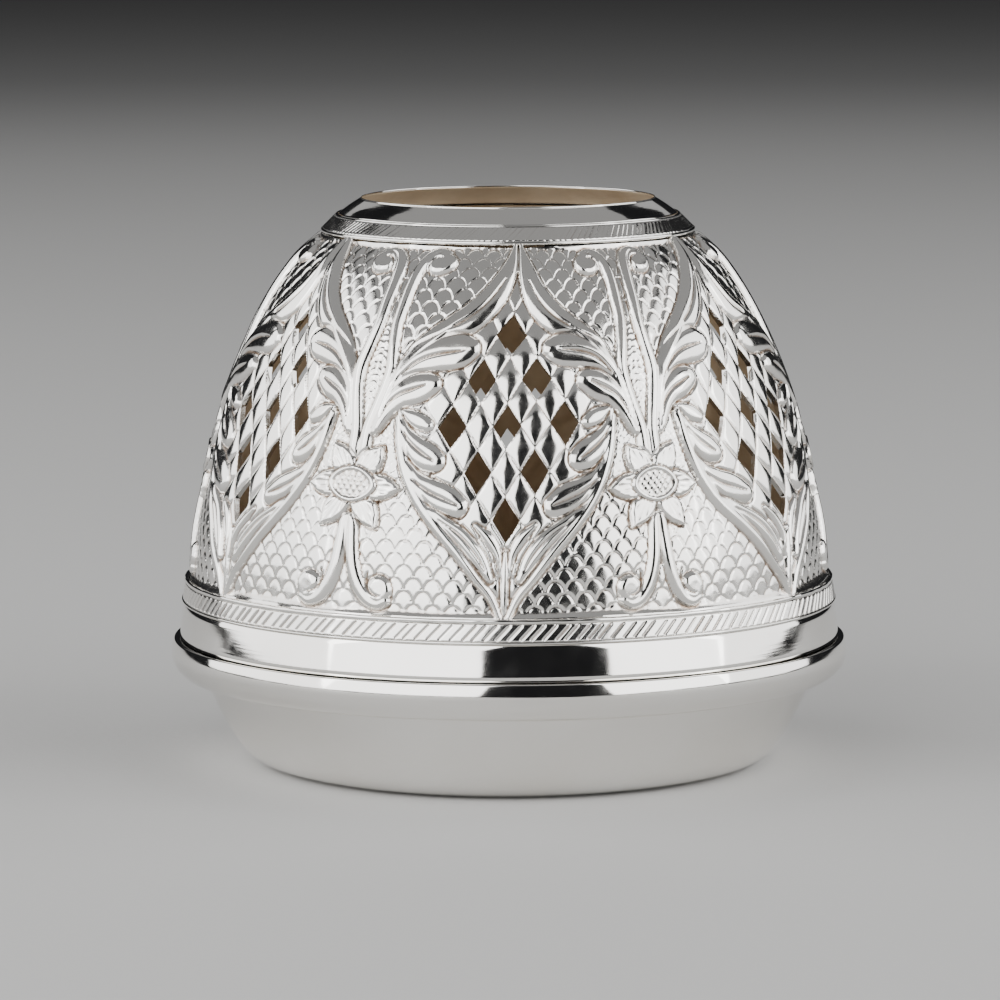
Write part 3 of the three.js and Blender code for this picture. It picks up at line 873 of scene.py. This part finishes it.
def hatching(lines, lean, depth, width, seed, rows):
    """Leaning grooves cut into the given rows of a ring."""
    random = np.random.default_rng(seed)
    start = random.normal(0, 0.09, lines)
    weight = random.uniform(0.6, 1.15, lines)

    def carve(azimuth, row, radius, height):
        pitch = 360 / lines
        middle = height[rows[0]:rows[1] + 1].mean()
        place = (azimuth - np.degrees((height - middle) * lean / radius)) / pitch
        line = np.floor(place).astype(int) % lines
        away = (place - np.floor(place) - 0.5 + start[line]) * np.radians(pitch) * radius
        groove = -depth * weight[line] * np.exp(-(away / width)**2)
        return np.where((row >= rows[0]) & (row <= rows[1]), groove, 0)

    return carve


def above_ledge(points):
    return [(r, LEDGE + z) for r, z in points]


def block(inner, outer, bottom, top):
    """A ring's square section."""
    return [(inner, bottom), (outer, bottom), (outer, top), (inner, top)]


def faced_ring(inner_r, bottom, top, face, rows, softening):
    """A ring's outline whose outer face is face(share), with share going 0..1 upwards."""
    shares = np.linspace(0, 1, rows)
    heights = bottom + softening + (top - bottom - 2 * softening) * shares
    outer = [(face(share), height) for share, height in zip(shares, heights)]
    ends = [(outer[0][0] - softening, bottom), (outer[-1][0] - softening, top)]
    return above_ledge([(inner_r, bottom), ends[0]] + outer + [ends[1], (inner_r, top)])


def build_skirt():
    """The rings on the skirt, from the ledge up. Their faces tilt slightly upwards."""
    inner = SKIRT_R + 0.02
    plain = faced_ring(inner, 0.14, LINE_Z - 0.32, lambda t: BAND_R - 0.7 * t - 0.1 * t**2, 8, 0.12)
    turned("skirt_band_plain", "skirt_plain_band", "shade", plain, 720, 0.03, 31)

    line = rounded(block(inner, BAND_R - 0.42, LINE_Z - 0.28, LINE_Z + 0.12), 0.2, 5)
    turned("skirt_line", "skirt_wire_lower", "shade", above_ledge(line), 720, 0.05, 32)

    bottom, top = LINE_Z + 0.16, ROLL_Z - 0.38
    hatched = faced_ring(inner, bottom, top, lambda t: HATCHED_R + 0.25 - 0.42 * t, 14, 0.05)
    lines = round(2 * math.pi * HATCHED_R / 1.8)
    carve = hatching(lines, lean=0.95, depth=0.3, width=0.17, seed=33, rows=(3, 14))
    turned("skirt_band_hatched", "skirt_hatched_band", "shade", hatched,
           lines * 14, 0.02, 33, carve, slot="chased_silver")

    roll = rounded(block(inner, HATCHED_R - 0.12, ROLL_Z - 0.4, ROLL_Z + 0.42), 0.4, 8)

    def beaten(azimuth, row, radius, height):
        return np.where(radius > SKIRT_R + 0.4, 0.06 * ripple(azimuth, height, 34, 90, 0.2, 12), 0)

    turned("skirt_roll", "skirt_wire_upper", "shade", above_ledge(roll),
           1080, 0.03, 34, beaten)


def wire(centre, radii):
    return above_ledge(arc(centre, radii, -90, 270, 12)[:-1])


def build_neck():
    """The hatched strip between its two wires, the plain collar, and the mouth's edge."""
    turned("neck_ridge_lower", "neck_wire_lower", "shade",
           wire(NECK_LOW, (0.3, 0.34)), 480, 0.03, 41)
    turned("neck_ridge_upper", "neck_wire_upper", "shade",
           wire(NECK_HIGH, (0.3, 0.3)), 480, 0.02, 42)

    strip_rows = 10
    half = 0.2
    across = [(NECK_LOW[0] + (NECK_HIGH[0] - NECK_LOW[0]) * t, NECK_LOW[1] + (NECK_HIGH[1] - NECK_LOW[1]) * t)
              for t in np.linspace(0.06, 0.94, strip_rows)]
    strip = [(r + half, z + half) for r, z in across] + [(r - half, z - half) for r, z in across[::-1]]
    lines = round(2 * math.pi * NECK_LOW[0] / 1.05)
    carve = hatching(lines, lean=1.1, depth=0.13, width=0.15, seed=43, rows=(1, strip_rows - 2))
    turned("neck_strip_hatched", "neck_band", "shade", above_ledge(strip),
           lines * 8, 0.02, 43, carve, slot="chased_silver")

    bottom = (NECK_HIGH[0] - 0.25, NECK_HIGH[1] + 0.25)
    top = (MOUTH[0] - 0.42, MOUTH[1] + 0.3)
    middle = ((bottom[0] + top[0]) / 2 + 0.05, (bottom[1] + top[1]) / 2 + 0.05)
    outer = smooth_line([bottom, middle, top], 0.3)
    thick = np.linspace(0.25, 1, len(outer))
    inner = [(r - 0.55 * k, z - 0.6 * k) for k, (r, z) in zip(thick, outer[::-1])]
    turned("neck_collar_plain", "neck_collar", "shade",
           above_ledge(list(map(tuple, outer)) + inner), 480, 0.03, 44, inside=len(outer))

    edge = wire((MOUTH[0] - 0.5, MOUTH[1] + 0.32), (0.12, 0.13))
    turned("mouth_edge", "mouth_wire", "shade", edge, 480, 0.03, 45)


# ---------- base ----------

FOOT_INNER_R, FOOT_OUTER_R = 28.0, 38.0
FOOT_RECESS = 3.2
BOWL_SHEET = 1.0
BOWL_SIDE = [(41.2, 0.9), (43.6, 2.8), (46.0, 6.3), (48.0, 10.2), (49.4, 13.6)]
BORE_R = 2.3                   # bore for the screw in the bowl, the holder, the washer and the nut


def offset_line(points, distance):
    """Moves a line's points to the left of their direction of travel."""
    points = np.array(points, float)
    run = np.gradient(points, axis=0)
    run /= np.linalg.norm(run, axis=1, keepdims=True)
    return np.stack([points[:, 0] - run[:, 1] * distance, points[:, 1] + run[:, 0] * distance], -1)


def build_bowl():
    slope = 5
    middle = [(BORE_R, FOOT_RECESS), (FOOT_INNER_R - slope, FOOT_RECESS), (FOOT_INNER_R, 0),
              (FOOT_OUTER_R - 0.5, 0)]
    middle = rounded(middle, 3.0, 8, closed=False)
    side = smooth_line([(FOOT_OUTER_R, 0.0)] + BOWL_SIDE + [(LIP_R, RIM_BOTTOM)], 0.5)
    lip = [(LIP_R, (RIM_BOTTOM + LEDGE) / 2), (LIP_R, LEDGE - 0.3)]
    outer = np.vstack([middle, side, lip])
    outline = np.vstack([outer, offset_line(outer, BOWL_SHEET)[::-1]])
    turned("bowl", "base_bowl", "base", outline, 360, 0.03, 51)


def build_rim():
    inner = LIP_R + 0.03
    under = arc((RIM_R - 3.6, RIM_BOTTOM + 3.85), (3.6, 3.85), -90, 0, 16)
    edge = arc((RIM_R - 0.65, LEDGE - 0.3), (0.3, 0.3), 8, 90, 6)
    outline = [(inner, RIM_BOTTOM + 0.05), (RIM_R - 3.75, RIM_BOTTOM - 0.02)] + under
    outline += [(RIM_R - 0.08, RIM_BOTTOM + 4.9)] + edge + [(inner + 0.2, LEDGE), (inner, LEDGE - 0.2)]
    turned("rim", "base_rim", "base", outline, 480, 0.03, 52)


def build_ring():
    low_edge, top, outer_r = extent("locating_ring")
    inner_r, bottom = outer_r - 0.9, low_edge - 0.28
    outline = [(inner_r, bottom), (outer_r, bottom), (outer_r, top - 1.2), (outer_r - 0.35, top),
               (inner_r, top)]
    turned("locating_collar", "locating_ring", "base", rounded(outline, 0.3), 360, 0.02, 53)


def build_holder():
    bottom, top, flare_r = extent("candle_holder")
    wall_r = flare_r - 1.1
    step_r, step = 8.0, 2.2
    sheet = 0.8
    outer = [(BORE_R, bottom), (step_r, bottom), (step_r + 1.6, bottom + step), (wall_r, bottom + step),
             (wall_r, top - 1.6), (flare_r - 0.1, top - 0.3)]
    outer = rounded(outer, 1.0, 6, closed=False)
    lip = arc((flare_r - 0.35, top - 0.45), (0.4, 0.45), -60, 150, 8)
    outline = np.vstack([outer, lip, offset_line(outer, sheet)[::-1]])
    turned("holder_cup", "candle_holder", "base", outline, 288, 0.03, 54, slot="holder_silver")


def build_washer():
    bottom, top, outer_r = extent("holder_spacer")
    washer = rounded(block(BORE_R, outer_r, bottom, top), 0.25)
    turned("spacer_washer", "holder_spacer", "base", washer, 128, 0.01, 55, slot="brass")


def build_screw():
    """A domed screw with a thread up its shank and a slot across its head."""
    tip, crown, head_r = extent("holder_screw")
    shank_r, under = 2.0, crown - 1.4
    pitch, thread_depth = 0.7, 0.25
    thread = []
    for k in range(int((under - tip - 0.6) / pitch)):
        z = tip + 0.5 + k * pitch
        thread += [(shank_r, z), (shank_r - thread_depth, z + pitch / 2)]
    dome_top = arc((0, under + 0.3), (head_r, crown - under - 0.3), 0, 90, 10)[:-1] + [(0, crown)]
    shank = [(0, tip), (shank_r - 0.45, tip)] + thread + [(shank_r, under)]
    outline = shank + [(head_r - 0.15, under)] + dome_top
    screw = turned("screw_domed", "holder_screw", "base", outline, 96, 0.0, 56, slot="brass")

    slot_width, slot_depth, slot_turn = 0.9, 0.7, math.radians(24)
    shape = bmesh.new()
    bmesh.ops.create_cube(shape, size=1)
    bmesh.ops.scale(shape, vec=Vector((4 * head_r, slot_width, 2 * slot_depth)) * MM, verts=shape.verts)
    bmesh.ops.rotate(shape, cent=(0, 0, 0), matrix=Matrix.Rotation(slot_turn, 3, "Z"), verts=shape.verts)
    bmesh.ops.translate(shape, vec=(0, 0, crown * MM), verts=shape.verts)
    screw.data = cut_mesh(screw, placed("slot_cutter", mesh_of("slot_cutter", shape)), "EXACT")
    screw.data.set_sharp_from_angle(angle=math.radians(40))


def build_nut():
    bottom, top, corner_r = extent("holder_nut")
    chamfer = 0.45
    columns = 144
    azimuth = np.arange(columns) * 360 / columns
    off_flat = np.radians((azimuth + 90) % 60 - 30)
    hexagon = corner_r * math.cos(math.pi / 6) / np.cos(off_flat)
    capped = np.minimum(hexagon, corner_r - chamfer)
    bore = np.full(columns, BORE_R)
    rows = [(bore, bottom), (capped, bottom), (hexagon, bottom + chamfer),
            (hexagon, top - chamfer), (capped, top), (bore, top)]
    points = np.stack([around(azimuth, r, z) for r, z in rows])
    mesh = mesh_from_grid("nut_hexagon", points, True, {})
    make_piece("nut_hexagon", mesh, (FINISH["brass"],), "base", "holder_nut")
    mesh.set_sharp_from_angle(angle=math.radians(20))


# ---------- tealight ----------


def build_foil_cup():
    """A drawn cup with a raised middle, a pleated wall and a curled edge."""
    bottom, top, radius = extent("tealight_cup")
    sheet, dimple = 0.35, 0.5
    outer = [(0, bottom + dimple), (radius * 0.55, bottom + dimple), (radius * 0.6, bottom),
             (radius - 1.4, bottom), (radius - 0.35, bottom + 0.6), (radius - 0.1, top - 1.0)]
    outer = rounded(outer, 0.8, 5, closed=False)
    curl = arc((radius - 0.35, top - 0.42), (0.35, 0.4), -40, 190, 10)
    inner = [(radius - 0.1 - sheet, top - 1.0), (radius - 0.6 - sheet, bottom + 0.8),
             (radius - 1.6, bottom + sheet), (radius * 0.6, bottom + sheet),
             (radius * 0.55, bottom + dimple + sheet), (0, bottom + dimple + sheet)]

    def pleats(azimuth, row, r, z):
        lift = np.clip((z - bottom - 1.5) / 3, 0, 1) * np.clip((top - 2 - z) / 3, 0, 1)
        return 0.06 * np.cos(np.radians(azimuth) * 72) * lift * (r > radius - 1.5) * (row < len(outer) + 4)

    walls = np.linspace(0, 1, 14)[1:-1]
    run_up = [outer[-2] + (outer[-1] - outer[-2]) * t for t in walls]
    outline = np.vstack([outer[:-1], run_up, outer[-1:], curl, inner])
    turned("tealight_foil_cup", "tealight_cup", "tealight", outline,
           576, 0.05, 61, pleats, slot="tealight_foil")


def build_wax():
    """Wax that has crept up the cup and the wick, round the disc that holds the wick."""
    bottom, top, wax_r = extent("tealight_wax")
    disc_top, disc_r = high("wick_sustainer")[2] + 0.25, high("wick_sustainer")[0] + 0.25
    hole_r = 1.05
    surface = smooth_line([(wax_r, top), (wax_r - 0.6, top - 0.35), (wax_r - 3, top - 0.62),
                           (wax_r / 2, top - 0.55), (4, top - 0.5), (hole_r + 0.7, top - 0.2),
                           (hole_r, top - 0.15)], 0.6)
    outline = [(disc_r, bottom), (wax_r - 0.9, bottom), (wax_r - 0.2, bottom + 0.9)]
    outline += list(map(tuple, surface)) + [(hole_r, disc_top), (disc_r, disc_top)]
    turned("wax_fill", "tealight_wax", "tealight", outline, 192, 0.04, 62, slot="wax")


def build_wick():
    """Two strands twisted together, with a soft tip, on a steel disc."""
    bottom, top, radius = extent("wick_sustainer")
    plate = rounded(block(0, radius, bottom, top), 0.2, 4, closed=False)
    turned("sustainer_disc", "wick_sustainer", "tealight", plate, 96, 0.0, 63, slot="wick_steel")

    foot, tip = low("wick")[2], high("wick")[2]
    wick_r, rows = 0.78, 90
    outline = [(wick_r * min(1, 0.3 + (tip - z) * 1.4), z) for z in np.linspace(foot, tip, rows)]
    outline = [(0, foot)] + outline + [(0, tip + 0.02)]

    def twist(azimuth, row, r, z):
        return -0.16 * abs(np.sin(np.radians(azimuth) + (z - foot) * 2.4)) * (r > 0.2)

    turned("wick_twisted", "wick", "tealight", outline, 48, 0.0, 64, twist, slot="cotton")


# ---------- studio ----------

CAMERA_PLACE = (-1.4, -958.1, 164.0)
CAMERA_DOWN = 7.236            # degrees below level
CAMERA_ROLL = 0.16
CAMERA_LENS = 213.45           # millimetres, on a sensor 36 wide
STUDIO_AIM = Vector((0, 0, 0.045))
FLOOR_HALF = 9.0               # metres
SOFTBOXES = {                  # azimuth, elevation, then metres away, wide and high, and what a mirror shows
    "key_left_front": (-37, 21.8, 1.3, 1.4, 1.05, 3.6),
    "key_left_side": (-92, 21.8, 1.3, 1.5, 1.05, 2.8),
    "key_right_front": (56, 21.8, 1.3, 1.1, 1.05, 3.6),
    "key_right_side": (98, 21.8, 1.3, 1.1, 1.05, 2.6),
    "fill_back": (180, 30, 1.7, 1.2, 0.8, 0.4),
    "fill_top": (0, 88, 1.5, 2.6, 2.6, 0.3),
}


def build_camera():
    data = bpy.data.cameras.new("camera")
    data.lens = CAMERA_LENS
    data.sensor_width = 36
    data.clip_start, data.clip_end = 0.05, 50
    camera = placed("camera", data)
    tilt = Matrix.Rotation(math.radians(90 - CAMERA_DOWN), 4, "X")
    roll = Matrix.Rotation(-math.radians(CAMERA_ROLL), 4, "Z")
    camera.matrix_world = Matrix.Translation(Vector(CAMERA_PLACE) * MM) @ tilt @ roll
    bpy.context.scene.camera = camera


def softbox(name, azimuth, elevation, distance, width, height, brightness):
    """A soft rectangular light that faces the lamp."""
    data = bpy.data.lights.new(name, "AREA")
    data.shape = "RECTANGLE"
    data.size, data.size_y = width, height
    data.energy = brightness * math.pi * width * height
    light = placed(name, data)
    a, e = math.radians(azimuth), math.radians(elevation)
    away = Vector((math.cos(e) * math.sin(a), -math.cos(e) * math.cos(a), math.sin(e)))
    light.location = STUDIO_AIM + away * distance
    light.rotation_euler = away.to_track_quat("Z", "Y").to_euler()
    light.visible_camera = False


def build_studio():
    for name, setting in SOFTBOXES.items():
        softbox(name, *setting)
    world = bpy.data.worlds.new("studio")
    world.use_nodes = True
    world.node_tree.nodes["Background"].inputs[0].default_value = (0.9, 0.92, 1.0, 1)
    world.node_tree.nodes["Background"].inputs[1].default_value = 0.015
    bpy.context.scene.world = world
    shape = bmesh.new()
    bmesh.ops.create_grid(shape, x_segments=8, y_segments=8, size=FLOOR_HALF)
    floor = placed("floor", mesh_of("floor", shape))
    floor.data.materials.append(floor_look())


build_camera()
build_studio()
pierced_shade()
build_skirt()
build_neck()
build_bowl()
build_rim()
build_ring()
build_holder()
build_washer()
build_screw()
build_nut()
build_foil_cup()
build_wax()
build_wick()
